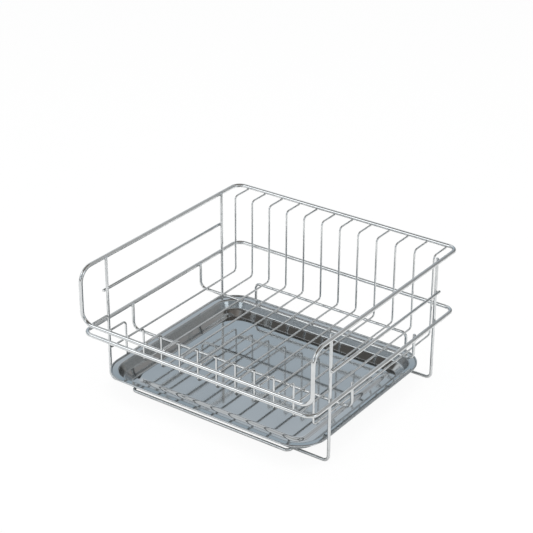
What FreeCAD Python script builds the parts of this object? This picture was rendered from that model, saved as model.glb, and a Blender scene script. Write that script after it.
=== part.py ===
# Dish drainer basket: a welded wire rack standing on two foot bars, with a pressed
# drip tray that lies on a runner under the basket and slides out to the front.
# The origin lies on the worktop under the middle of the rack, with X to the right,
# Y to the back and Z up. All sizes are in millimetres.
import FreeCAD
import Part
import math
import os

Vector = FreeCAD.Vector

# Wire gauges
rim_wire = 6.0
frame_wire = 4.5
basket_wire = 3.0

# Plan of the rack, between wire centres
rack_width = 400.0
rack_depth = 378.0

# Setbacks from the rim's front and back bars
basket_setback = 33.5
leg_setback = 50.4
cross_wire_setback = 106.2
tray_front_setback = 10.35

# Heights, each measured up from the one before it, between wire centres
floor_height = 64.2
mid_loop_rise = 34.4
front_bar_rise = 16.4
side_rail_rise = 48.7
rim_rise = 100.6

# Row of basket wires
basket_wire_count = 12
basket_side_margin = 20.15
flange_overrun = 1.2

# Bend radii at the wire centre
rim_back_bend = 15.0
rim_shoulder_bend = 22.0
rim_front_bar_bend = 19.0
mid_loop_bend = 15.0
leg_bend = 9.0
cross_wire_bend = 11.0
basket_bend = 6.0
runner_bend = 8.0

# Side rails, past the legs that carry them
side_rail_overhang = 4.0

# Runner that carries the tray
runner_inset = 16.0
runner_overhang = 16.8
stop_clearance = 7.15

# Drip tray
tray_height = 23.6
tray_corner_radius = 48.0
tray_sheet = 0.7
tray_bead = 2.8
flange_drop = 0.5
flange_width = 12.5
upper_wall_run = 6.0
ledge_width = 2.6
ledge_rise = 7.1
ledge_fall = 0.7
lower_wall_run = 9.9
shoulder_bend = 3.5
ledge_bend = 3.0
foot_bend = 3.0
foot_flat = 1.2
foot_margin = 0.4

# Raised middle of the tray, with a gutter along its front and its right side
front_gutter = 9.9
right_gutter = 6.4
front_slope = 10.0
right_slope = 9.0
left_slope = 2.0
back_slope = 1.6
step_rise = 1.3
step_radius = 16.0

# Clearances
weld_gap = 0.05
tray_running_gap = 0.25
tray_side_gap = 5.75
tray_back_gap = 8.0

# Heights of the wire centres above the worktop
foot_z = frame_wire / 2
runner_z = foot_z + frame_wire + weld_gap
floor_z = floor_height
cross_wire_z = floor_z - (basket_wire + frame_wire) / 2 - weld_gap
mid_loop_z = floor_z + mid_loop_rise
front_bar_z = mid_loop_z + front_bar_rise
side_rail_z = mid_loop_z + side_rail_rise
rim_z = mid_loop_z + rim_rise
stop_z = floor_z - (basket_wire + frame_wire) / 2 - stop_clearance
rim_top = rim_z + rim_wire / 2
mid_loop_top = mid_loop_z + rim_wire / 2
wire_to_rim = (rim_wire + basket_wire) / 2 + weld_gap
back_flange_z = rim_z - wire_to_rim
front_flange_z = front_bar_z + wire_to_rim

# Half sizes in plan, from the middle of the rack
rim_x = rack_width / 2
rim_y = rack_depth / 2
leg_x = rim_x - (rim_wire + frame_wire) / 2 - weld_gap
leg_y = rim_y - leg_setback
side_rail_x = leg_x + frame_wire + weld_gap
cross_wire_y = rim_y - cross_wire_setback
basket_y = rim_y - basket_setback
flange_y = rim_y + flange_overrun
basket_side_x = rim_x - basket_side_margin
basket_wire_pitch = 2 * basket_side_x / (basket_wire_count - 1)
runner_y = leg_y + runner_overhang

# Insets of the tray's profile from its outer edge
ledge_inset = flange_width + upper_wall_run
lower_wall_inset = ledge_inset + ledge_width
foot_inset = lower_wall_inset + lower_wall_run
wall_inset = foot_inset + foot_flat
step_inset = wall_inset + foot_margin

# Where the tray lies, and the runner's sides under its foot
tray_back_y = runner_y - frame_wire / 2 - tray_back_gap
tray_front_y = tray_front_setback - rim_y
tray_centre_y = (tray_front_y + tray_back_y) / 2
tray_half_depth = (tray_back_y - tray_front_y) / 2
tray_half_width = leg_x - frame_wire / 2 - tray_side_gap
runner_x = tray_half_width - foot_inset - runner_inset
tray_underside = runner_z + frame_wire / 2 + tray_running_gap
tray_foot_top = tray_underside + tray_sheet
bead_z = tray_underside + tray_height - tray_bead / 2


def rounded_path(corners, bends):
    """Straight runs through the corners, joined at each inner corner by an arc of its bend radius."""
    edges = []
    start = corners[0]
    for before, corner, after, bend in zip(corners, corners[1:], corners[2:], bends):
        back = (before - corner).normalize()
        ahead = (after - corner).normalize()
        half_angle = back.getAngle(ahead) / 2
        middle = (back + ahead).normalize()
        arc_start = corner + back * (bend / math.tan(half_angle))
        arc_end = corner + ahead * (bend / math.tan(half_angle))
        arc_middle = corner + middle * (bend / math.sin(half_angle) - bend)
        edges.append(Part.LineSegment(start, arc_start).toShape())
        edges.append(Part.Arc(arc_start, arc_middle, arc_end).toShape())
        start = arc_end
    edges.append(Part.LineSegment(start, corners[-1]).toShape())
    return Part.Wire(edges)


def bent_wire(corners, bends, diameter):
    """A round wire of the given diameter, bent along the corners."""
    path = rounded_path(corners, bends)
    section = Part.Circle(corners[0], corners[1] - corners[0], diameter / 2).toShape()
    return path.makePipe(Part.Face(Part.Wire(section)))


def hanging_u(half_width, y, top, bottom, bend, diameter):
    """A wire that hangs in the plane y from two upright ends, with a level bar between them."""
    corners = [
        Vector(-half_width, y, top),
        Vector(-half_width, y, bottom),
        Vector(half_width, y, bottom),
        Vector(half_width, y, top),
    ]
    return bent_wire(corners, [bend, bend], diameter)


def top_rim():
    """Closed rim: level along the back and the sides, then down to a low bar across the front."""
    corners = [
        Vector(0, rim_y, rim_z),
        Vector(rim_x, rim_y, rim_z),
        Vector(rim_x, -rim_y, rim_z),
        Vector(rim_x, -rim_y, front_bar_z),
        Vector(-rim_x, -rim_y, front_bar_z),
        Vector(-rim_x, -rim_y, rim_z),
        Vector(-rim_x, rim_y, rim_z),
        Vector(0, rim_y, rim_z),
    ]
    bends = [
        rim_back_bend,
        rim_shoulder_bend,
        rim_front_bar_bend,
        rim_front_bar_bend,
        rim_shoulder_bend,
        rim_back_bend,
    ]
    return bent_wire(corners, bends, rim_wire)


def mid_loop():
    """Level closed loop round the basket, under the rim."""
    corners = [
        Vector(0, rim_y, mid_loop_z),
        Vector(rim_x, rim_y, mid_loop_z),
        Vector(rim_x, -rim_y, mid_loop_z),
        Vector(-rim_x, -rim_y, mid_loop_z),
        Vector(-rim_x, rim_y, mid_loop_z),
        Vector(0, rim_y, mid_loop_z),
    ]
    return bent_wire(corners, 4 * [mid_loop_bend], rim_wire)


def leg_frame(y):
    """Two legs inside the rim and the mid loop, joined along the worktop by a foot bar."""
    return hanging_u(leg_x, y, rim_top, foot_z, leg_bend, frame_wire)


def cross_wire(y):
    """Hanger that carries the basket wires, from one side of the mid loop to the other."""
    return hanging_u(leg_x, y, mid_loop_top, cross_wire_z, cross_wire_bend, frame_wire)


def side_rail(x):
    """Straight rail along one side, on the outside of the two legs."""
    half_length = leg_y + side_rail_overhang
    return bent_wire([Vector(x, -half_length, side_rail_z), Vector(x, half_length, side_rail_z)], [], frame_wire)


def basket_wire_at(x):
    """Basket wire: flange under the back of the rim, back wall, floor, front wall, flange on the front bar."""
    corners = [
        Vector(x, flange_y, back_flange_z),
        Vector(x, basket_y, back_flange_z),
        Vector(x, basket_y, floor_z),
        Vector(x, -basket_y, floor_z),
        Vector(x, -basket_y, front_flange_z),
        Vector(x, -flange_y, front_flange_z),
    ]
    return bent_wire(corners, 4 * [basket_bend], basket_wire)


def tray_runner():
    """Closed loop on the foot bars: front bar, two side runners, and a raised stop bar at the back."""
    corners = [
        Vector(0, -runner_y, runner_z),
        Vector(runner_x, -runner_y, runner_z),
        Vector(runner_x, runner_y, runner_z),
        Vector(runner_x, runner_y, stop_z),
        Vector(-runner_x, runner_y, stop_z),
        Vector(-runner_x, runner_y, runner_z),
        Vector(-runner_x, -runner_y, runner_z),
        Vector(0, -runner_y, runner_z),
    ]
    return bent_wire(corners, 6 * [runner_bend], frame_wire)


def sheet_section(points, bends):
    """Section of the tray's sheet: its upper side runs through the points, each an inset and a height."""
    upper = rounded_path([Vector(-inset, 0, height) for inset, height in points], bends)
    return upper.makeOffset2D(tray_sheet, fill=True, openResult=True)


def rounded_outline(half_x, half_y, radius, z):
    """Corners of a level rounded rectangle, from the middle of its back side all the way round."""
    corners = [
        Vector(0, half_y, z),
        Vector(half_x, half_y, z),
        Vector(half_x, -half_y, z),
        Vector(-half_x, -half_y, z),
        Vector(-half_x, half_y, z),
        Vector(0, half_y, z),
    ]
    return corners, 4 * [radius]


def rounded_sheet(half_x, half_y, radius, underside):
    """Level sheet with the outline of a rounded rectangle."""
    corners, bends = rounded_outline(half_x, half_y, radius, underside)
    return Part.Face(rounded_path(corners, bends)).extrude(Vector(0, 0, tray_sheet))


def plan_outline(back_right, front_left, radius):
    """Level rounded rectangle between two opposite corners."""
    middle = (back_right + front_left) / 2
    half = (back_right - front_left) / 2
    corners, bends = rounded_outline(half.x, half.y, radius, 0)
    return rounded_path([corner + middle for corner in corners], bends)


def pressed_ring(section, half_x, half_y, radius):
    """The section carried round a rounded rectangle: along its four sides and round its four corners."""
    pieces = []
    for quarter in range(4):
        reach, run = [(half_x, half_y), (half_y, half_x)][quarter % 2]
        straight = run - radius
        side = section.translated(Vector(reach, -straight, 0)).extrude(Vector(0, 2 * straight, 0))
        corner = section.translated(Vector(radius, 0, 0)).revolve(Vector(), Vector(0, 0, 1), 90)
        corner.translate(Vector(reach - radius, straight, 0))
        for piece in (side, corner):
            piece.rotate(Vector(), Vector(0, 0, 1), 90 * quarter)
            pieces.append(piece)
    return pieces


def wall_section():
    """Section of the tray's flange, stepped wall and foot."""
    ledge_z = tray_foot_top + ledge_rise
    points = [
        (tray_bead / 2, bead_z - flange_drop),
        (flange_width, bead_z - flange_drop),
        (ledge_inset, ledge_z),
        (lower_wall_inset, ledge_z - ledge_fall),
        (foot_inset, tray_foot_top),
        (wall_inset, tray_foot_top),
    ]
    return sheet_section(points, [shoulder_bend, ledge_bend, ledge_bend, foot_bend])


def raised_block():
    """Block with the shape of the raised middle: a low prism with sloping sides on top of it."""
    foot_corners = [
        Vector(tray_half_width - step_inset - right_gutter, tray_half_depth - step_inset, tray_foot_top),
        Vector(step_inset - tray_half_width, step_inset + front_gutter - tray_half_depth, tray_foot_top),
    ]
    top_corners = [
        foot_corners[0] + Vector(-right_slope, -back_slope, step_rise),
        foot_corners[1] + Vector(left_slope, front_slope, step_rise),
    ]
    foot = plan_outline(*foot_corners, step_radius)
    top = plan_outline(*top_corners, step_radius)
    prism = Part.Face(foot).extrude(Vector(0, 0, -tray_sheet))
    return prism.fuse(Part.makeLoft([foot, top], True, True))


def tray_bead_ring():
    """Rolled bead round the outer edge of the flange."""
    inset = tray_bead / 2
    corners, bends = rounded_outline(
        tray_half_width - inset, tray_half_depth - inset, tray_corner_radius - inset, bead_z
    )
    return bent_wire(corners, bends, tray_bead)


def drip_tray():
    """Pressed tray: bead, flange and stepped wall round a foot, and a raised middle inside it."""
    foot_radius = tray_corner_radius - wall_inset
    foot = rounded_sheet(tray_half_width - wall_inset, tray_half_depth - wall_inset, foot_radius, tray_underside)
    wall = pressed_ring(wall_section(), tray_half_width, tray_half_depth, tray_corner_radius)
    block = raised_block()
    hollow = block.translated(Vector(0, 0, -tray_sheet))
    tray = tray_bead_ring().fuse(wall + [foot, block]).cut(hollow).removeSplitter().Solids[0]
    return tray.translated(Vector(0, tray_centre_y, 0))


def rack_pieces():
    """The welded rack: each wire under its own name."""
    pieces = {
        "top_rim": top_rim(),
        "mid_loop": mid_loop(),
        "front_leg_frame": leg_frame(-leg_y),
        "back_leg_frame": leg_frame(leg_y),
        "left_side_rail": side_rail(-side_rail_x),
        "right_side_rail": side_rail(side_rail_x),
        "front_cross_wire": cross_wire(-cross_wire_y),
        "back_cross_wire": cross_wire(cross_wire_y),
        "tray_runner": tray_runner(),
    }
    for index in range(basket_wire_count):
        x = index * basket_wire_pitch - basket_side_x
        pieces[f"basket_wire_{index + 1:02d}"] = basket_wire_at(x)
    return pieces


if __name__ == "__main__":
    os.makedirs("parts", exist_ok=True)
    for name, shape in {**rack_pieces(), "drip_tray": drip_tray()}.items():
        shape.exportStep(f"parts/{name}.step")
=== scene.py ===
"""Dish drainer basket, dressed for the camera.

The rack is bent from bright round wire and welded where the wires cross. The drip tray is pressed
from mirror-bright sheet. Every size is in metres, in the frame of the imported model.
"""
import logging
import math
from collections.abc import Iterable, Mapping, Sequence
from dataclasses import dataclass
from enum import Enum

import bmesh
import bpy
from mathutils import Matrix, Vector


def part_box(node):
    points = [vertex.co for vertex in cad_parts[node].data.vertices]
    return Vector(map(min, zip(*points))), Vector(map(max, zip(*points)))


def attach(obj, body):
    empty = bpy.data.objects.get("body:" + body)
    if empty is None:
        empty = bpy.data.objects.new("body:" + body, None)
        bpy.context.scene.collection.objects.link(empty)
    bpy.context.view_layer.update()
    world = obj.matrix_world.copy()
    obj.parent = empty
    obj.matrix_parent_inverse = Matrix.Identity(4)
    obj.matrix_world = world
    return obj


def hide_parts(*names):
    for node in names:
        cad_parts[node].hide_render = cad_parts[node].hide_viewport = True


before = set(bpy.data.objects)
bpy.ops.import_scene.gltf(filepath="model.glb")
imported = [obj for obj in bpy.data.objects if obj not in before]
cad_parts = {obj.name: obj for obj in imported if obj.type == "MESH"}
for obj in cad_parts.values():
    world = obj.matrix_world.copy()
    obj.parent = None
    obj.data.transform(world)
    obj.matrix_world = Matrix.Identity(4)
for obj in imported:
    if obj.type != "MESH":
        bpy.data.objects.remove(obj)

LOG = logging.getLogger("dish_drainer")

MM = 0.001
# Vertices nearer to each other than this are one vertex.
SEAM_GAP = 0.002 * MM
# A vertex nearer to a height than this lies at it.
LEVEL_TOLERANCE = 0.01 * MM

SIDEWAYS = Vector((1.0, 0.0, 0.0))
BACKWARDS = Vector((0.0, 1.0, 0.0))
UP = Vector((0.0, 0.0, 1.0))

QUARTER_TURN = math.pi / 2
# Folds that are sharper than these stay crisp when the piece is shaded smooth.
WIRE_CREASE = math.radians(40.0)
SHEET_CREASE = math.radians(50.0)
NO_CREASE = math.pi

Colour = tuple[float, float, float]
Geometry = list[bmesh.types.BMVert | bmesh.types.BMEdge]
Feed = bpy.types.NodeSocket | float | tuple[float, ...]


class Slot(Enum):
    """Material slots of the record."""

    WIRE = "rack_wire"
    SHEET = "tray_sheet"


class Body(Enum):
    """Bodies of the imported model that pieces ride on."""

    RACK = "rack"
    TRAY = "tray"


class Sum(Enum):
    """What a maths node works out."""

    ADD = "ADD"
    MULTIPLY = "MULTIPLY"
    MULTIPLY_ADD = "MULTIPLY_ADD"
    MAXIMUM = "MAXIMUM"


@dataclass(frozen=True)
class Shade:
    """One stop of a graded colour.

    Args:
        position: Where the stop is, from 0 to 1.
        colour: Its colour, linear RGB.
    """

    position: float
    colour: Colour


def add_node(
    tree: bpy.types.NodeTree,
    kind: str,
    feeds: Mapping[str | int, Feed],
    worked_out: Sum | None = None,
) -> bpy.types.Node:
    """Add a shader node and feed its inputs.

    Args:
        tree: The nodes that it joins.
        kind: Its type.
        feeds: What goes into each input, a value or the output of another node.
        worked_out: What a maths node works out.

    Returns:
        The new node.
    """
    node = tree.nodes.new(kind)
    if worked_out:
        node.operation = worked_out.value
    for socket, feed in feeds.items():
        if isinstance(feed, bpy.types.NodeSocket):
            tree.links.new(feed, node.inputs[socket])
        else:
            node.inputs[socket].default_value = feed
    return node


def add_grading(
    tree: bpy.types.NodeTree, value: bpy.types.NodeSocket, shades: Sequence[Shade]
) -> bpy.types.NodeSocket:
    """Turn a value into a colour that runs through the shades.

    Args:
        tree: The nodes that the grading joins.
        value: The value, from 0 to 1.
        shades: The stops, from the lowest position to the highest.

    Returns:
        The graded colour.
    """
    ramp = add_node(tree, "ShaderNodeValToRGB", {"Fac": value})
    stops = ramp.color_ramp.elements
    stops[0].position, stops[1].position = shades[0].position, shades[-1].position
    for shade in shades[1:-1]:
        stops.new(shade.position)
    for stop, shade in zip(stops, shades):
        stop.color = (*shade.colour, 1.0)
    return ramp.outputs["Color"]


@dataclass(frozen=True)
class PolishedSteel:
    """Bright stainless steel with a faint, uneven polish.

    Args:
        name: Name of the material.
        dark: Colour where the polish is a little dull, linear RGB.
        bright: Colour where it is brightest, linear RGB.
        roughness: Lowest and highest roughness of the polish.
        patch_scale: Patches of polish to a metre.
        grain_scale: Ripples of the surface to a metre, along X, Y and Z.
        grain_strength: How strongly the ripples tilt the surface.
        grain_height: Height of the ripples.
        wall_roughness: Roughness that drawing the sheet adds to an upright wall.
        patch_detail: How finely the patches break up.
        patch_range: Values of the patch noise that count as fully dull and fully bright.
        grain_detail: How finely the ripples break up.
        wall_facing: Upward part of the normal where a wall begins and where it is fully rubbed.
    """

    name: str
    dark: Colour
    bright: Colour
    roughness: tuple[float, float]
    patch_scale: float
    grain_scale: tuple[float, float, float]
    grain_strength: float
    grain_height: float
    wall_roughness: float
    patch_detail: float = 3.0
    patch_range: tuple[float, float] = (0.3, 0.7)
    grain_detail: float = 2.0
    wall_facing: tuple[float, float] = (0.95, 0.5)

    def build(self) -> bpy.types.Material:
        """Make the material.

        Returns:
            A new metal material on Object coordinates.
        """
        material = bpy.data.materials.new(self.name)
        material.use_nodes = True
        tree = material.node_tree
        place = add_node(tree, "ShaderNodeTexCoord", {}).outputs["Object"]
        pattern = {"Vector": place, "Scale": self.patch_scale, "Detail": self.patch_detail}
        patches = add_node(tree, "ShaderNodeTexNoise", pattern).outputs["Fac"]
        tones = [Shade(*stop) for stop in zip(self.patch_range, (self.dark, self.bright))]
        shader = tree.nodes["Principled BSDF"]
        shader.inputs["Metallic"].default_value = 1.0
        tree.links.new(add_grading(tree, patches, tones), shader.inputs["Base Color"])
        tree.links.new(self._roughness(tree, patches), shader.inputs["Roughness"])
        tree.links.new(self._ripples(tree, place), shader.inputs["Normal"])
        return material

    def _roughness(
        self, tree: bpy.types.NodeTree, patches: bpy.types.NodeSocket
    ) -> bpy.types.NodeSocket:
        """Polish the surface in patches, and dull the walls, which the drawing die has rubbed.

        Args:
            tree: The material's nodes.
            patches: Noise of the patches of polish.

        Returns:
            Roughness of all faces.
        """
        finest, dullest = self.roughness
        spread = {
            "Value": patches,
            "From Min": self.patch_range[0],
            "From Max": self.patch_range[1],
            "To Min": dullest,
            "To Max": finest,
        }
        polish = add_node(tree, "ShaderNodeMapRange", spread).outputs["Result"]
        if not self.wall_roughness:
            return polish
        normal = add_node(tree, "ShaderNodeTexCoord", {}).outputs["Normal"]
        facing = add_node(tree, "ShaderNodeSeparateXYZ", {"Vector": normal}).outputs["Z"]
        rub = {
            "Value": facing,
            "From Min": self.wall_facing[0],
            "From Max": self.wall_facing[1],
            "To Max": self.wall_roughness,
        }
        rubbed = add_node(tree, "ShaderNodeMapRange", rub).outputs["Result"]
        return add_node(tree, "ShaderNodeMath", {0: polish, 1: rubbed}, Sum.ADD).outputs["Value"]

    def _ripples(
        self, tree: bpy.types.NodeTree, place: bpy.types.NodeSocket
    ) -> bpy.types.NodeSocket:
        """Ripple the surface a little, so that reflections waver.

        Args:
            tree: The material's nodes.
            place: Object coordinates.

        Returns:
            The tilted normal.
        """
        stretch = {"Vector": place, "Scale": self.grain_scale}
        stretched = add_node(tree, "ShaderNodeMapping", stretch).outputs["Vector"]
        pattern = {"Vector": stretched, "Scale": 1.0, "Detail": self.grain_detail}
        ripples = add_node(tree, "ShaderNodeTexNoise", pattern).outputs["Fac"]
        relief = {"Height": ripples, "Strength": self.grain_strength, "Distance": self.grain_height}
        return add_node(tree, "ShaderNodeBump", relief).outputs["Normal"]


WIRE_FINISH = PolishedSteel(
    name="polished_wire",
    dark=(0.58, 0.595, 0.60),
    bright=(0.67, 0.68, 0.68),
    roughness=(0.09, 0.16),
    patch_scale=60.0,
    grain_scale=(400.0, 400.0, 400.0),
    grain_strength=0.05,
    grain_height=0.02 * MM,
    wall_roughness=0.0,
)
SHEET_FINISH = PolishedSteel(
    name="mirror_sheet",
    dark=(0.415, 0.435, 0.445),
    bright=(0.475, 0.495, 0.505),
    roughness=(0.045, 0.07),
    patch_scale=9.0,
    grain_scale=(14.0, 14.0, 14.0),
    grain_strength=0.2,
    grain_height=0.15 * MM,
    wall_roughness=0.12,
)


@dataclass(frozen=True)
class Bend:
    """One bend of a path.

    Args:
        start: Where its arc starts.
        end: Where its arc ends.
        centre: Middle of the arc.
        axis: What it turns about.
        angle: How far it turns, in radians.
    """

    start: Vector
    end: Vector
    centre: Vector
    axis: Vector
    angle: float

    @classmethod
    def at(cls, before: Vector, corner: Vector, after: Vector, radius: float) -> "Bend":
        """Fit an arc of the radius into the corner.

        Args:
            before: A point on the path before the corner.
            corner: Where the two straight runs would meet.
            after: A point on the path after the corner.
            radius: Radius of the arc.

        Returns:
            The bend that is tangent to both runs.
        """
        arriving = (corner - before).normalized()
        leaving = (after - corner).normalized()
        angle = arriving.angle(leaving)
        cut = radius * math.tan(angle / 2)
        axis = arriving.cross(leaving).normalized()
        start = corner - arriving * cut
        centre = start + axis.cross(arriving) * radius
        return cls(start, corner + leaving * cut, centre, axis, angle)


@dataclass
class Sweep:
    """A front of vertices or edges that is drawn through space and leaves edges or faces behind it.

    Args:
        mesh: The mesh that is drawn in.
        front: The geometry at the moving end.
        place: Where the path stands now.
        turn_steps: Segments in a quarter turn.
        fewest_steps: Segments in the smallest bend.
    """

    mesh: bmesh.types.BMesh
    front: Geometry
    place: Vector
    turn_steps: int = 10
    fewest_steps: int = 2

    def _spin(self, centre: Vector, axis: Vector, angle: float, steps: int, slide: Vector) -> None:
        """Move the front by steps, each a share of the turn and one slide.

        Args:
            centre: Middle of the turn.
            axis: What it turns about.
            angle: The whole turn, in radians.
            steps: Number of steps.
            slide: How far each step slides.
        """
        made = bmesh.ops.spin(
            self.mesh,
            geom=self.front,
            cent=centre,
            axis=axis,
            dvec=slide,
            angle=angle,
            steps=steps,
            use_merge=False,
            use_normal_flip=False,
            use_duplicate=False,
        )
        self.front = made["geom_last"]

    def run_to(self, point: Vector) -> None:
        """Draw the front straight to the point."""
        self._spin(self.place, UP, 0.0, 1, point - self.place)
        self.place = point.copy()

    def turn(self, bend: Bend) -> None:
        """Draw the front round a bend.

        Args:
            bend: The bend, which starts where the front is.
        """
        steps = max(self.fewest_steps, round(self.turn_steps * bend.angle / QUARTER_TURN))
        self._spin(bend.centre, bend.axis, bend.angle, steps, Vector())
        self.place = bend.end.copy()

    def follow(self, bends: Iterable[Bend]) -> None:
        """Draw the front along straight runs and round the bends between them.

        Args:
            bends: The bends, in the order of the path.
        """
        for bend in bends:
            self.run_to(bend.start)
            self.turn(bend)


def open_bends(corners: Sequence[Vector], radii: Sequence[float]) -> list[Bend]:
    """Bends at the inner corners of an open path."""
    trios = zip(corners, corners[1:], corners[2:])
    return [Bend.at(*trio, radius) for trio, radius in zip(trios, radii)]


def loop_bends(corners: Sequence[Vector], radii: Sequence[float]) -> list[Bend]:
    """Bends of a closed path.

    Args:
        corners: The path's corners.
        radii: Bend radius at each corner.

    Returns:
        The bends, of which the last is at the first corner.
    """
    ahead = [*corners[1:], corners[0]]
    beyond = [*ahead[1:], ahead[0]]
    ahead_radii = [*radii[1:], radii[0]]
    return [Bend.at(*trio, radius) for *trio, radius in zip(corners, ahead, beyond, ahead_radii)]


def level_rectangle(half_x: float, half_y: float, height: float) -> list[Vector]:
    """Corners of a level rectangle about the middle: back right, front right, and on round."""
    signs = ((1.0, 1.0), (1.0, -1.0), (-1.0, -1.0), (-1.0, 1.0))
    return [Vector((x * half_x, y * half_y, height)) for x, y in signs]


def add_object(name: str, data: bpy.types.ID) -> bpy.types.Object:
    """Put new data into the scene.

    Args:
        name: Name of the object.
        data: Its mesh, lamp or lens.

    Returns:
        The new object, at the origin.
    """
    item = bpy.data.objects.new(name, data)
    bpy.context.scene.collection.objects.link(item)
    return item


def finish_mesh(
    mesh: bmesh.types.BMesh, name: str, material: bpy.types.Material, crease: float
) -> bpy.types.Object:
    """Close the seams, point the faces outwards and make the object.

    Args:
        mesh: The drawn mesh, which is freed.
        name: Name of the object.
        material: Its finish.
        crease: Edges that fold by more than this stay sharp, in radians.

    Returns:
        The new object, at the origin.
    """
    bmesh.ops.remove_doubles(mesh, verts=mesh.verts, dist=SEAM_GAP)
    bmesh.ops.recalc_face_normals(mesh, faces=mesh.faces)
    data = bpy.data.meshes.new(name)
    mesh.to_mesh(data)
    mesh.free()
    data.shade_smooth()
    data.set_sharp_from_angle(angle=crease)
    data.materials.append(material)
    return add_object(name, data)


def settle(piece: bpy.types.Object, body: Body) -> None:
    """Fix a piece to its body, and report it.

    Args:
        piece: The finished piece.
        body: The body that it rides on.
    """
    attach(piece, body.value)
    LOG.info("%s: %d faces on %s", piece.name, len(piece.data.polygons), body.value)


@dataclass
class BentWire:
    """A round wire bent along a path of corners.

    Args:
        node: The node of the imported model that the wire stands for.
        corners: The path's corners at the wire's centre.
        radii: Bend radius at each corner that is bent.
        diameter: Diameter of the wire.
        closed: Whether the wire is welded into a loop.
        sides: Facets round the wire.
        end_break: Width of the bevel on a cut end.
        end_segments: Segments across that bevel.
    """

    node: str
    corners: Sequence[Vector]
    radii: Sequence[float]
    diameter: float
    closed: bool = False
    sides: int = 24
    end_break: float = 0.35 * MM
    end_segments: int = 2

    def _ring(self, mesh: bmesh.types.BMesh, place: Vector, heading: Vector) -> Geometry:
        """Draw a ring of the wire's section.

        Args:
            mesh: The mesh to draw in.
            place: Middle of the ring.
            heading: Direction that the ring is square to.

        Returns:
            The ring's vertices and edges.
        """
        turned = heading.to_track_quat("Z", "Y").to_matrix().to_4x4()
        made = bmesh.ops.create_circle(
            mesh,
            cap_ends=False,
            segments=self.sides,
            radius=self.diameter / 2,
            matrix=Matrix.Translation(place) @ turned,
        )
        ring = made["verts"]
        return [*ring, *dict.fromkeys(edge for vertex in ring for edge in vertex.link_edges)]

    def _cap(self, mesh: bmesh.types.BMesh) -> None:
        """Close both cut ends and break their edges.

        Args:
            mesh: The drawn wire.
        """
        open_edges = [edge for edge in mesh.edges if edge.is_boundary]
        bmesh.ops.holes_fill(mesh, edges=open_edges, sides=self.sides)
        bmesh.ops.bevel(
            mesh,
            geom=open_edges,
            offset=self.end_break,
            segments=self.end_segments,
            profile=0.5,
            affect="EDGES",
            material=-1,
        )

    def build(self, material: bpy.types.Material) -> bpy.types.Object:
        """Make the wire.

        Args:
            material: Its finish.

        Returns:
            The new object.
        """
        mesh = bmesh.new()
        if self.closed:
            bends = loop_bends(self.corners, self.radii)
            start = bends[-1].end
        else:
            bends = open_bends(self.corners, self.radii)
            start = self.corners[0]
        heading = self.corners[1] - self.corners[0]
        sweep = Sweep(mesh, self._ring(mesh, start, heading), start)
        sweep.follow(bends)
        if not self.closed:
            sweep.run_to(self.corners[-1])
            self._cap(mesh)
        return finish_mesh(mesh, f"{self.node}_wire", material, WIRE_CREASE)


@dataclass(frozen=True)
class Crossing:
    """A spot weld between two wires.

    Args:
        contact: Middle of the weld.
        along: Direction of the thinner wire, which the weld is drawn out along.
        normal: Direction from one wire to the other.
        size: Length of the weld along the thinner wire.
    """

    contact: Vector
    along: Vector
    normal: Vector
    size: float


@dataclass
class WeldNuggets:
    """The small collars of metal squeezed out where two wires are welded.

    Args:
        crossings: Where the welds are.
        width_share: Width of a collar as a share of its length.
        height_share: Height of a collar as a share of its length.
        fineness: How often each collar's faces are divided.
    """

    crossings: Sequence[Crossing]
    width_share: float = 0.80
    height_share: float = 0.42
    fineness: int = 2

    def build(self, material: bpy.types.Material) -> bpy.types.Object:
        """Make all collars as one piece.

        Args:
            material: Their finish.

        Returns:
            The new object.
        """
        mesh = bmesh.new()
        stretched = Matrix.Diagonal((1.0, self.width_share, self.height_share, 1.0))
        for spot in self.crossings:
            across = spot.normal.cross(spot.along)
            turned = Matrix((spot.along, across, spot.normal)).transposed().to_4x4()
            bmesh.ops.create_icosphere(
                mesh,
                subdivisions=self.fineness,
                radius=spot.size / 2,
                matrix=Matrix.Translation(spot.contact) @ turned @ stretched,
            )
        return finish_mesh(mesh, "weld_nuggets", material, NO_CREASE)


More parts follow.
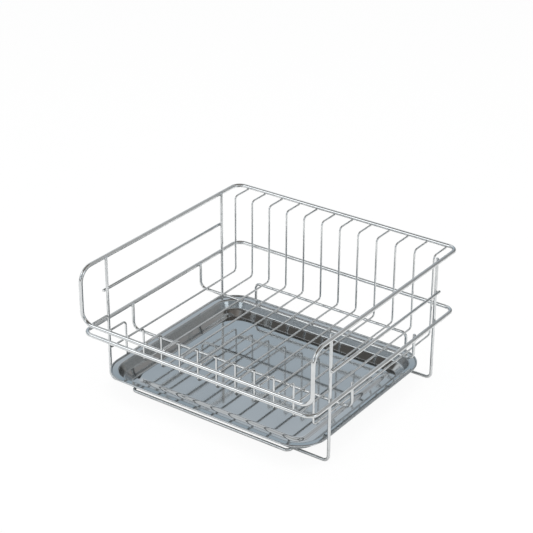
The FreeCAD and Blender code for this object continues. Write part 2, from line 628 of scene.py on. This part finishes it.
@dataclass
class Rack:
    """The welded wire rack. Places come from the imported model, gauges and bends are the maker's.

    Args:
        rim_wire: Diameter of the top rim and the mid loop.
        frame_wire: Diameter of the legs, rails, cross wires and runner.
        basket_wire: Diameter of the basket wires.
        weld_gap: Gap between two welded wires.
        basket_setback: From the rim's back and front bars to the basket's walls.
        basket_wire_count: Number of basket wires.
        basket_wire_sides: Facets round a basket wire.
        rim_back_bend: Bend radius at the rim's back corners.
        rim_shoulder_bend: Bend radius where the rim turns down at the front.
        rim_front_bar_bend: Bend radius where it turns into the low front bar.
        mid_loop_bend: Bend radius of the mid loop.
        leg_bend: Bend radius where a leg turns into its foot bar.
        cross_wire_bend: Bend radius of the cross wires.
        basket_bend: Bend radius of the basket wires.
        runner_bend: Bend radius of the runner.
        basket_weld_share: Length of a basket wire's weld as a share of the wire's diameter.
        frame_weld_share: The same for a frame wire's weld.
    """

    rim_wire: float = 6.0 * MM
    frame_wire: float = 4.5 * MM
    basket_wire: float = 3.0 * MM
    weld_gap: float = 0.05 * MM
    basket_setback: float = 33.5 * MM
    basket_wire_count: int = 12
    basket_wire_sides: int = 20
    rim_back_bend: float = 15.0 * MM
    rim_shoulder_bend: float = 22.0 * MM
    rim_front_bar_bend: float = 19.0 * MM
    mid_loop_bend: float = 15.0 * MM
    leg_bend: float = 9.0 * MM
    cross_wire_bend: float = 11.0 * MM
    basket_bend: float = 6.0 * MM
    runner_bend: float = 8.0 * MM
    basket_weld_share: float = 1.15
    frame_weld_share: float = 1.1

    def __post_init__(self) -> None:
        """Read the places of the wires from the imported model."""
        rim_low, rim_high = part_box("top_rim")
        self.rim_x = rim_high.x - self.rim_wire / 2
        self.rim_y = rim_high.y - self.rim_wire / 2
        self.rim_z = rim_high.z - self.rim_wire / 2
        self.front_bar_z = rim_low.z + self.rim_wire / 2
        self.mid_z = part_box("mid_loop")[1].z - self.rim_wire / 2
        self.basket_y = self.rim_y - self.basket_setback
        self.floor_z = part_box("basket_wire_01")[0].z + self.basket_wire / 2
        rim_to_wire = (self.rim_wire + self.basket_wire) / 2 + self.weld_gap
        self.back_flange_z = self.rim_z - rim_to_wire
        self.front_flange_z = self.front_bar_z + rim_to_wire

    def top_rim(self) -> BentWire:
        """Closed rim that drops to a low bar across the front.

        Returns:
            The wire to bend.
        """
        corners = [
            Vector((self.rim_x, self.rim_y, self.rim_z)),
            Vector((self.rim_x, -self.rim_y, self.rim_z)),
            Vector((self.rim_x, -self.rim_y, self.front_bar_z)),
            Vector((-self.rim_x, -self.rim_y, self.front_bar_z)),
            Vector((-self.rim_x, -self.rim_y, self.rim_z)),
            Vector((-self.rim_x, self.rim_y, self.rim_z)),
        ]
        right_radii = [self.rim_back_bend, self.rim_shoulder_bend, self.rim_front_bar_bend]
        radii = [*right_radii, *reversed(right_radii)]
        return BentWire("top_rim", corners, radii, self.rim_wire, closed=True)

    def mid_loop(self) -> BentWire:
        """Closed level loop under the rim."""
        corners = level_rectangle(self.rim_x, self.rim_y, self.mid_z)
        return BentWire("mid_loop", corners, 4 * [self.mid_loop_bend], self.rim_wire, closed=True)

    def hanging_u(self, node: str, bend: float) -> BentWire:
        """A leg frame or a cross wire: two upright ends with a level bar between them.

        Args:
            node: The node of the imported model.
            bend: Bend radius of both corners.

        Returns:
            The wire to bend.
        """
        low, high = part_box(node)
        x = high.x - self.frame_wire / 2
        y = (low.y + high.y) / 2
        bar_z = low.z + self.frame_wire / 2
        corners = [
            Vector((-x, y, high.z)),
            Vector((-x, y, bar_z)),
            Vector((x, y, bar_z)),
            Vector((x, y, high.z)),
        ]
        return BentWire(node, corners, 2 * [bend], self.frame_wire)

    def side_rail(self, node: str) -> BentWire:
        """A straight rail along one side.

        Args:
            node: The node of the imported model.

        Returns:
            The wire, which has no bend.
        """
        low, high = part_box(node)
        middle = (low + high) / 2
        ends = [Vector((middle.x, low.y, middle.z)), Vector((middle.x, high.y, middle.z))]
        return BentWire(node, ends, [], self.frame_wire)

    def basket_wire_at(self, node: str) -> BentWire:
        """A basket wire, from its back flange down, along the floor and up to its front flange.

        Args:
            node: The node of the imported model.

        Returns:
            The wire to bend.
        """
        low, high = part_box(node)
        x = (low.x + high.x) / 2
        corners = [
            Vector((x, high.y, self.back_flange_z)),
            Vector((x, self.basket_y, self.back_flange_z)),
            Vector((x, self.basket_y, self.floor_z)),
            Vector((x, -self.basket_y, self.floor_z)),
            Vector((x, -self.basket_y, self.front_flange_z)),
            Vector((x, low.y, self.front_flange_z)),
        ]
        radii = 4 * [self.basket_bend]
        return BentWire(node, corners, radii, self.basket_wire, sides=self.basket_wire_sides)

    def runner(self) -> BentWire:
        """The closed runner under the tray, with its raised stop bar at the back.

        Returns:
            The wire to bend.
        """
        low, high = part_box("tray_runner")
        x = high.x - self.frame_wire / 2
        y = high.y - self.frame_wire / 2
        z = low.z + self.frame_wire / 2
        stop_z = high.z - self.frame_wire / 2
        corners = [
            Vector((x, -y, z)),
            Vector((x, y, z)),
            Vector((x, y, stop_z)),
            Vector((-x, y, stop_z)),
            Vector((-x, y, z)),
            Vector((-x, -y, z)),
        ]
        radii = 6 * [self.runner_bend]
        return BentWire("tray_runner", corners, radii, self.frame_wire, closed=True)

    def basket_nodes(self) -> list[str]:
        """Names of the basket wires, from left to right."""
        return [f"basket_wire_{number:02d}" for number in range(1, self.basket_wire_count + 1)]

    def wires(self) -> list[BentWire]:
        """Every wire of the rack.

        Returns:
            The wires to bend.
        """
        return [
            self.top_rim(),
            self.mid_loop(),
            self.hanging_u("front_leg_frame", self.leg_bend),
            self.hanging_u("back_leg_frame", self.leg_bend),
            self.side_rail("left_side_rail"),
            self.side_rail("right_side_rail"),
            self.hanging_u("front_cross_wire", self.cross_wire_bend),
            self.hanging_u("back_cross_wire", self.cross_wire_bend),
            self.runner(),
            *(self.basket_wire_at(node) for node in self.basket_nodes()),
        ]

    def basket_crossings(self) -> list[Crossing]:
        """Welds of the basket wires to the rim and to the cross wires.

        Returns:
            Four welds on each basket wire.
        """
        size = self.basket_weld_share * self.basket_wire
        radius = self.basket_wire / 2
        cross_low, cross_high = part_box("back_cross_wire")
        cross_y = (cross_low.y + cross_high.y) / 2
        spots = (
            (self.rim_y, self.back_flange_z + radius),
            (-self.rim_y, self.front_flange_z - radius),
            (cross_y, self.floor_z - radius),
            (-cross_y, self.floor_z - radius),
        )
        found = []
        for node in self.basket_nodes():
            low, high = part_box(node)
            x = (low.x + high.x) / 2
            found += [Crossing(Vector((x, y, z)), BACKWARDS, UP, size) for y, z in spots]
        return found

    def frame_crossings(self) -> list[Crossing]:
        """Welds of the legs, rails, cross wires and runner.

        Returns:
            Five welds near each leg.
        """
        size = self.frame_weld_share * self.frame_wire
        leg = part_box("back_leg_frame")[1]
        leg_y = leg.y - self.frame_wire / 2
        cross_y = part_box("back_cross_wire")[1].y - self.frame_wire / 2
        rail_low, rail_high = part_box("right_side_rail")
        runner_low, runner_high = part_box("tray_runner")
        runner_x = runner_high.x - self.frame_wire / 2
        spots = (
            (leg.x, leg_y, self.rim_z, UP, SIDEWAYS),
            (leg.x, leg_y, self.mid_z, UP, SIDEWAYS),
            (rail_low.x, leg_y, (rail_low.z + rail_high.z) / 2, UP, SIDEWAYS),
            (leg.x, cross_y, self.mid_z, UP, SIDEWAYS),
            (runner_x, leg_y, runner_low.z, BACKWARDS, UP),
        )
        return [
            Crossing(Vector((side * x, end * y, z)), along, normal, size)
            for side in (-1.0, 1.0)
            for end in (-1.0, 1.0)
            for x, y, z, along, normal in spots
        ]

    def build(self, material: bpy.types.Material) -> None:
        """Make the wires and their welds, and hang them on the rack.

        Args:
            material: Their finish.
        """
        for wire in self.wires():
            piece = wire.build(material)
            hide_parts(wire.node)
            settle(piece, Body.RACK)
        nuggets = WeldNuggets(self.basket_crossings() + self.frame_crossings())
        settle(nuggets.build(material), Body.RACK)


@dataclass
class DripTray:
    """The pressed tray: a curled edge, a flange, a stepped wall, a low foot and a raised middle.

    Args:
        sheet: Thickness of the sheet.
        curl_radius: Outer radius of the curled edge.
        curl_fillet: Radius of the groove where the flange turns up into the curl.
        curl_tuck: How far the cut edge is tucked in under the curl.
        corner_radius: Plan radius of the outer corners.
        flange_drop: From the middle of the curl down to the flange.
        flange_width: From the outer edge to the shoulder.
        upper_wall_run: Inward run of the upper wall.
        ledge_width: Width of the narrow ledge half way down the wall.
        ledge_rise: Height of the ledge above the foot.
        ledge_fall: Slope of the ledge across its width.
        lower_wall_run: Inward run of the lower wall.
        shoulder_bend: Bend radius at the shoulder.
        ledge_bend: Bend radius at both sides of the ledge.
        foot_bend: Bend radius at the foot.
        foot_flat: Level strip inside the foot before the corners tighten.
        step_insets: Insets of the foot of the step at the left, right, front and back.
        step_runs: Widths of its slope up to the raised middle at the same sides.
        step_rise: Height of the raised middle above the foot.
        fold_share: Share of the slope that each of its two rounded folds takes.
        fold_steps: Segments across a rounded fold.
        section_steps: Segments in a quarter turn of the pressed section.
        corner_steps: Segments round an outer corner.
    """

    sheet: float = 0.7 * MM
    curl_radius: float = 1.4 * MM
    curl_fillet: float = 0.5 * MM
    curl_tuck: float = 0.3 * MM
    corner_radius: float = 48.0 * MM
    flange_drop: float = 0.5 * MM
    flange_width: float = 12.5 * MM
    upper_wall_run: float = 6.0 * MM
    ledge_width: float = 2.6 * MM
    ledge_rise: float = 7.1 * MM
    ledge_fall: float = 0.7 * MM
    lower_wall_run: float = 9.9 * MM
    shoulder_bend: float = 3.5 * MM
    ledge_bend: float = 3.0 * MM
    foot_bend: float = 3.0 * MM
    foot_flat: float = 1.2 * MM
    step_insets: tuple[float, float, float, float] = (32.6 * MM, 39.0 * MM, 42.5 * MM, 32.6 * MM)
    step_runs: tuple[float, float, float, float] = (2.0 * MM, 9.0 * MM, 10.0 * MM, 1.6 * MM)
    step_rise: float = 1.3 * MM
    fold_share: float = 0.45
    fold_steps: int = 6
    section_steps: int = 8
    corner_steps: int = 24

    def __post_init__(self) -> None:
        """Read the tray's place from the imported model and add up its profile."""
        low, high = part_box("drip_tray")
        self.half_x = (high.x - low.x) / 2
        self.half_y = (high.y - low.y) / 2
        self.middle = Vector(((low.x + high.x) / 2, (low.y + high.y) / 2, 0.0))
        self.foot_top = low.z + self.sheet
        self.curl_z = high.z - self.curl_radius
        self.ledge_inset = self.flange_width + self.upper_wall_run
        self.foot_inset = self.ledge_inset + self.ledge_width + self.lower_wall_run

    def _section(self) -> tuple[list[tuple[float, float]], list[float]]:
        """Upper side of the pressing, from the cut edge under the curl down to the foot.

        Returns:
            The section's corners, each an inset from the outer edge and a height, and their radii.
        """
        bottom, top = self.curl_z - self.curl_radius, self.curl_z + self.curl_radius
        flange_z = self.curl_z - self.flange_drop
        ledge_z = self.foot_top + self.ledge_rise
        corners = [
            (self.curl_radius + self.curl_tuck, bottom),
            (0.0, bottom),
            (0.0, top),
            (2 * self.curl_radius, top),
            (2 * self.curl_radius, flange_z),
            (self.flange_width, flange_z),
            (self.ledge_inset, ledge_z),
            (self.ledge_inset + self.ledge_width, ledge_z - self.ledge_fall),
            (self.foot_inset, self.foot_top),
            (self.foot_inset + self.foot_flat, self.foot_top),
        ]
        radii = [
            *3 * [self.curl_radius],
            self.curl_fillet,
            self.shoulder_bend,
            *2 * [self.ledge_bend],
            self.foot_bend,
        ]
        return corners, radii

    def _draw_section(self, mesh: bmesh.types.BMesh) -> Geometry:
        """Draw the section at the right side, where the back corner ends.

        Args:
            mesh: The mesh to draw in.

        Returns:
            The drawn vertices and edges.
        """
        plane_y = self.half_y - self.corner_radius
        places, radii = self._section()
        corners = [Vector((self.half_x - inset, plane_y, z)) for inset, z in places]
        pen = Sweep(mesh, [mesh.verts.new(corners[0])], corners[0], self.section_steps)
        pen.follow(open_bends(corners, radii))
        pen.run_to(corners[-1])
        return [*mesh.verts, *mesh.edges]

    def _outline(self) -> list[Bend]:
        """Bends of the tray's outer edge, seen from above."""
        corners = level_rectangle(self.half_x, self.half_y, 0.0)
        return loop_bends(corners, 4 * [self.corner_radius])

    def _step_profile(self) -> list[tuple[float, float]]:
        """Places along the slope of the step, each a share of its width and of its height.

        Returns:
            The places from the foot to the last fold, and one more on the level behind it.
        """
        fold = self.fold_share
        places = [fold * step / self.fold_steps for step in range(self.fold_steps + 1)]
        rising = [(at, at**2 / (2 * fold * (1 - fold))) for at in places]
        falling = [(1 - at, 1 - lift) for at, lift in reversed(rising)]
        return [*rising, *falling, (1.0 + places[1], 1.0)]

    def _level_loop(self, insets: Sequence[float], lift: float) -> tuple[Vector, Vector]:
        """Place of a level loop inside the tray's outline.

        Args:
            insets: Its insets at the left, right, front and back.
            lift: Its height above the foot.

        Returns:
            Its front left corner, and its size along X and Y.
        """
        left, right, front, back = insets
        corner = Vector((left - self.half_x, front - self.half_y, lift))
        return corner, Vector((2 * self.half_x - left - right, 2 * self.half_y - front - back))

    def _raise_middle(self, mesh: bmesh.types.BMesh) -> None:
        """Draw the low strip inside the foot, the step and the raised middle.

        Args:
            mesh: The drawn wall and foot, open in the middle.
        """
        edges = [
            edge
            for edge in mesh.edges
            if edge.is_boundary
            and all(abs(vertex.co.z - self.foot_top) < LEVEL_TOLERANCE for vertex in edge.verts)
        ]
        corner, size = self._level_loop(4 * [self.foot_inset + self.foot_flat], 0.0)
        for share, lift in self._step_profile():
            insets = [inset + share * run for inset, run in zip(self.step_insets, self.step_runs)]
            next_corner, next_size = self._level_loop(insets, lift * self.step_rise)
            scale = Matrix.Diagonal((next_size.x / size.x, next_size.y / size.y, 1.0, 1.0))
            moved = Matrix.Translation(next_corner) @ scale @ Matrix.Translation(-corner)
            made = bmesh.ops.extrude_edge_only(mesh, edges=edges)["geom"]
            edges = [item for item in made if isinstance(item, bmesh.types.BMEdge)]
            verts = [item for item in made if isinstance(item, bmesh.types.BMVert)]
            bmesh.ops.transform(mesh, matrix=moved, verts=verts)
            corner, size = next_corner, next_size
        bmesh.ops.contextual_create(mesh, geom=edges)

    def build(self, material: bpy.types.Material) -> None:
        """Make the tray and lay it on the runner.

        Args:
            material: Its finish.
        """
        mesh = bmesh.new()
        section = self._draw_section(mesh)
        outline = self._outline()
        Sweep(mesh, section, outline[-1].end, self.corner_steps).follow(outline)
        bmesh.ops.remove_doubles(mesh, verts=mesh.verts, dist=SEAM_GAP)
        self._raise_middle(mesh)
        bmesh.ops.recalc_face_normals(mesh, faces=mesh.faces)
        if max(mesh.faces, key=lambda face: face.calc_area()).normal.z < 0:
            bmesh.ops.reverse_faces(mesh, faces=mesh.faces)
        bmesh.ops.solidify(mesh, geom=mesh.faces, thickness=self.sheet)
        bmesh.ops.translate(mesh, verts=mesh.verts, vec=self.middle)
        piece = finish_mesh(mesh, "drip_tray_pressing", material, SHEET_CREASE)
        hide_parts("drip_tray")
        settle(piece, Body.TRAY)


@dataclass(frozen=True)
class Panel:
    """A soft light panel.

    Args:
        name: Name of the lamp.
        place: Middle of the panel.
        width: Its width.
        height: Its height.
        radiance: Brightness of its face, where 1 is white.
        mirrored: Whether polished metal shows the panel.
        colour: Its colour, linear RGB.
    """

    name: str
    place: tuple[float, float, float]
    width: float
    height: float
    radiance: float
    mirrored: bool = True
    colour: Colour = (1.0, 1.0, 1.0)

    def build(self, target: Vector) -> None:
        """Hang the panel and aim it.

        Args:
            target: The point that it faces.
        """
        lamp = bpy.data.lights.new(self.name, "AREA")
        lamp.shape = "RECTANGLE"
        lamp.size = self.width
        lamp.size_y = self.height
        lamp.energy = self.radiance * self.width * self.height * math.pi
        lamp.color = self.colour
        holder = add_object(self.name, lamp)
        holder.location = self.place
        holder.visible_glossy = self.mirrored
        holder.rotation_euler = (target - Vector(self.place)).to_track_quat("-Z", "Y").to_euler()


@dataclass
class Studio:
    """White floor, soft panels, a graded backdrop and the camera.

    Args:
        focal: Focal length, in millimetres.
        sensor_width: Width of the sensor, in millimetres.
        place: Where the camera stands.
        azimuth: Its heading, from +Y towards -X, in degrees.
        pitch: How far it looks down, in degrees.
        roll: How far it is turned about its line of sight, in degrees.
        target: The point that the panels face.
        floor_radius: Radius of the floor.
        floor_sides: Corners of the floor's edge.
        floor_paint: Grey level of its paint.
        floor_roughness: Roughness of its paint.
        floor_glow_seen: Share of plain white in the floor that the camera sees.
        floor_glow_mirrored: The same share for the floor as metal mirrors it.
        panels: The light panels.
        height_shades: Grading of the backdrop by height: 0 level with the object, 1 overhead.
        side_shades: Grading that dims it from left to right: 0 at the left, 1 at the right.
    """

    focal: float = 108.6
    sensor_width: float = 36.0
    place: tuple[float, float, float] = (1.1957, -1.6990, 1.2293)
    azimuth: float = 35.34
    pitch: float = 26.63
    roll: float = 0.28
    target: tuple[float, float, float] = (0.0, 0.0, 0.08)
    floor_radius: float = 30.0
    floor_sides: int = 96
    floor_paint: float = 0.9
    floor_roughness: float = 0.9
    floor_glow_seen: float = 0.94
    floor_glow_mirrored: float = 0.12
    panels: tuple[Panel, ...] = (
        Panel("overhead_panel", (0.0, 0.0, 2.6), 2.4, 2.4, 3.4, mirrored=False),
        Panel("front_left_panel", (-1.5, -1.9, 1.75), 1.3, 1.3, 1.5),
        Panel("front_panel", (0.05, -2.4, 0.78), 0.7, 0.7, 2.0, colour=(0.88, 0.95, 1.0)),
        Panel("right_panel", (2.4, -0.3, 0.72), 0.9, 0.7, 2.0, colour=(0.88, 0.95, 1.0)),
    )
    height_shades: tuple[Shade, ...] = (
        Shade(0.0, (0.40, 0.40, 0.40)),
        Shade(0.21, (0.46, 0.48, 0.50)),
        Shade(0.45, (0.54, 0.64, 0.72)),
        Shade(0.62, (0.95, 0.97, 1.0)),
        Shade(0.76, (1.0, 1.0, 1.0)),
        Shade(0.83, (0.14, 0.13, 0.12)),
        Shade(0.90, (0.14, 0.13, 0.12)),
        Shade(0.98, (0.55, 0.50, 0.46)),
    )
    side_shades: tuple[Shade, ...] = (
        Shade(0.30, (1.0, 1.0, 1.0)),
        Shade(0.50, (0.42, 0.41, 0.40)),
        Shade(0.62, (0.48, 0.45, 0.43)),
        Shade(0.80, (0.95, 0.90, 0.84)),
        Shade(1.0, (0.80, 0.80, 0.80)),
    )

    def camera(self) -> None:
        """Stand the camera where the photograph was taken from."""
        lens = bpy.data.cameras.new("camera")
        lens.lens = self.focal
        lens.sensor_width = self.sensor_width
        heading, pitch = math.radians(self.azimuth), math.radians(self.pitch)
        ahead = Vector(
            (
                -math.cos(pitch) * math.sin(heading),
                math.cos(pitch) * math.cos(heading),
                -math.sin(pitch),
            )
        )
        right = Vector((math.cos(heading), math.sin(heading), 0.0))
        above = right.cross(ahead)
        turned = Matrix((right, above, -ahead)).transposed().to_4x4()
        rolled = turned @ Matrix.Rotation(math.radians(self.roll), 4, "Z")
        holder = add_object("camera", lens)
        holder.matrix_world = Matrix.Translation(self.place) @ rolled
        bpy.context.scene.camera = holder

    def floor(self) -> None:
        """Lay a wide white floor that keeps a faint shadow."""
        mesh = bmesh.new()
        bmesh.ops.create_circle(
            mesh, cap_ends=True, segments=self.floor_sides, radius=self.floor_radius
        )
        data = bpy.data.meshes.new("floor")
        mesh.to_mesh(data)
        mesh.free()
        data.materials.append(self._floor_material())
        piece = add_object("floor", data)

    def _floor_material(self) -> bpy.types.Material:
        """White for the eye, dim in reflections, with plain paint that takes the shadow.

        Returns:
            The new material.
        """
        material = bpy.data.materials.new("white_floor")
        material.use_nodes = True
        tree = material.node_tree
        paint = tree.nodes["Principled BSDF"]
        paint.inputs["Base Color"].default_value = (*3 * [self.floor_paint], 1.0)
        paint.inputs["Roughness"].default_value = self.floor_roughness
        glow = add_node(tree, "ShaderNodeEmission", {"Strength": 1.0}).outputs["Emission"]
        rays = add_node(tree, "ShaderNodeLightPath", {}).outputs
        indirect = {0: rays["Is Glossy Ray"], 1: rays["Is Transmission Ray"]}
        mirrored = add_node(tree, "ShaderNodeMath", indirect, Sum.MAXIMUM).outputs["Value"]
        dimmed = {0: mirrored, 1: self.floor_glow_mirrored}
        mirrored_share = add_node(tree, "ShaderNodeMath", dimmed, Sum.MULTIPLY).outputs["Value"]
        shares = {0: rays["Is Camera Ray"], 1: self.floor_glow_seen, 2: mirrored_share}
        share = add_node(tree, "ShaderNodeMath", shares, Sum.MULTIPLY_ADD).outputs["Value"]
        layers = {"Fac": share, 1: paint.outputs["BSDF"], 2: glow}
        mix = add_node(tree, "ShaderNodeMixShader", layers).outputs["Shader"]
        tree.links.new(mix, tree.nodes["Material Output"].inputs["Surface"])
        return material

    def surroundings(self) -> None:
        """Hang a backdrop that is white for the eye and graded for the metal.

        It is grey near the floor, white half way up, dark above that and dim overhead, and
        dimmer in the middle than at either side.
        """
        world = bpy.data.worlds.new("room")
        world.use_nodes = True
        tree = world.node_tree
        direction = add_node(tree, "ShaderNodeTexCoord", {}).outputs["Generated"]
        heading = add_node(tree, "ShaderNodeSeparateXYZ", {"Vector": direction}).outputs
        height = add_grading(tree, heading["Z"], self.height_shades)
        side = add_node(tree, "ShaderNodeMapRange", {"Value": heading["X"], "From Min": -1.0})
        across = add_grading(tree, side.outputs["Result"], self.side_shades)
        graded = add_node(tree, "ShaderNodeVectorMath", {0: height, 1: across}, Sum.MULTIPLY)
        air = tree.nodes["Background"]
        tree.links.new(graded.outputs["Vector"], air.inputs["Color"])
        white = add_node(tree, "ShaderNodeBackground", {"Color": (1.0, 1.0, 1.0, 1.0)})
        seen = add_node(tree, "ShaderNodeLightPath", {}).outputs["Is Camera Ray"]
        layers = {"Fac": seen, 1: air.outputs["Background"], 2: white.outputs["Background"]}
        mix = add_node(tree, "ShaderNodeMixShader", layers).outputs["Shader"]
        tree.links.new(mix, tree.nodes["World Output"].inputs["Surface"])
        bpy.context.scene.world = world

    def build(self) -> None:
        """Set up the studio."""
        self.floor()
        self.surroundings()
        for panel in self.panels:
            panel.build(Vector(self.target))
        self.camera()
        bpy.context.scene.view_settings.view_transform = "Standard"


def main() -> None:
    """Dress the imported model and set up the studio."""
    logging.basicConfig(level=logging.INFO, format="%(name)s: %(message)s")
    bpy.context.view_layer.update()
    Rack().build(WIRE_FINISH.build())
    DripTray().build(SHEET_FINISH.build())
    Studio().build()


if __name__ == "__main__":
    main()
